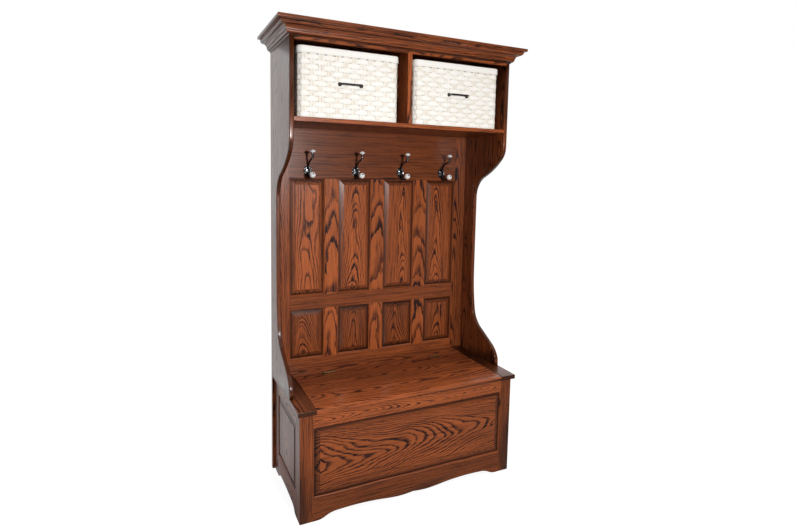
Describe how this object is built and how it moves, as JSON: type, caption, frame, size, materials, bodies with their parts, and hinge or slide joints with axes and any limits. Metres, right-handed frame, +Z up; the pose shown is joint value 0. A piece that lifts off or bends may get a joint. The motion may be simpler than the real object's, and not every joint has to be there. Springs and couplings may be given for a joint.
{
  "type": "hall tree with hooks",
  "caption": "Free-standing oak hall tree: lidded storage bench, panelled back with double coat hooks, scrolled sides and a top shelf with woven baskets under a crown.",
  "frame": {"origin": "middle of the overall footprint on the floor", "axes": "+Z up, front of the bench faces -Y, back to the wall at +Y, +X to the sitter's left"},
  "size_m": [1.148, 0.48, 1.981],
  "materials": {
    "stained_oak": "gloss lacquer over a red-brown stain",
    "plain_oak": "satin, same stain, thin coat",
    "woven_strip": "cream paper-fibre strips, plain weave",
    "pull_metal": "antique pewter, rubbed high spots",
    "hook_metal": "oil-rubbed bronze with polished edges",
    "hinge_brass": "antique brass",
    "porcelain": "white glazed porcelain"
  },
  "bodies": {
    "case": {"back_bottom_rail": "stained_oak", "back_hook_rail": "stained_oak", "back_lower_panel_1": "stained_oak", "back_lower_panel_2": "stained_oak", "back_lower_panel_3": "stained_oak", "back_lower_panel_4": "stained_oak", "back_mid_rail": "stained_oak", "back_mullions": "stained_oak", "back_stile_left": "stained_oak", "back_stile_right": "stained_oak", "back_upper_panel_1": "stained_oak", "back_upper_panel_2": "stained_oak", "back_upper_panel_3": "stained_oak", "back_upper_panel_4": "stained_oak", "base_front_bottom_rail": "stained_oak", "base_front_panel": "stained_oak", "base_front_stile_left": "stained_oak", "base_front_stile_right": "stained_oak", "base_front_top_rail": "stained_oak", "base_left_bottom_rail": "stained_oak", "base_left_panel": "stained_oak", "base_left_stiles": "stained_oak", "base_left_top_rail": "stained_oak", "base_right_bottom_rail": "stained_oak", "base_right_panel": "stained_oak", "base_right_stiles": "stained_oak", "base_right_top_rail": "stained_oak", "chest_back_panel": "plain_oak", "chest_bottom": "plain_oak", "chest_bottom_cleats": "plain_oak", "crown_front": "stained_oak", "crown_returns": "stained_oak", "cubby_back_panel": "plain_oak", "cubby_divider": "stained_oak", "cubby_face_rail": "stained_oak", "cubby_shelf": "stained_oak", "hinge_leaves_fixed": "hinge_brass", "hinge_pins": "hinge_brass", "hinge_screws_fixed": "hinge_brass", "hook_arms_lower": "hook_metal", "hook_arms_upper": "hook_metal", "hook_knobs_lower": "porcelain", "hook_knobs_upper": "porcelain", "hook_plates": "hook_metal", "hook_screws": "hook_metal", "seat_back_strip": "stained_oak", "seat_caps": "stained_oak", "side_panel_left": "stained_oak", "side_panel_right": "stained_oak", "top_board": "stained_oak"},
    "lid": {"seat_lid": "stained_oak", "lid_battens": "stained_oak", "hinge_leaves_lid": "hinge_brass", "hinge_screws_lid": "hinge_brass"},
    "basket_left_body": {"basket_left": "woven_strip", "basket_rim_left": "woven_strip", "basket_handle_left": "pull_metal"},
    "basket_right_body": {"basket_right": "woven_strip", "basket_rim_right": "woven_strip", "basket_handle_right": "pull_metal"}
  },
  "joints": [
    {"name": "lid_hinge", "type": "hinge", "parent": "case", "child": "lid", "pos_m": [0, 0.1115, 0.4747], "axis": [-1, 0, 0], "range_deg": [0, 104]},
    {"name": "basket_left_slide", "type": "slide", "parent": "case", "child": "basket_left_body", "axis": [0, -1, 0], "range_m": [0, 0.34]},
    {"name": "basket_right_slide", "type": "slide", "parent": "case", "child": "basket_right_body", "axis": [0, -1, 0], "range_m": [0, 0.34]}
  ]
}
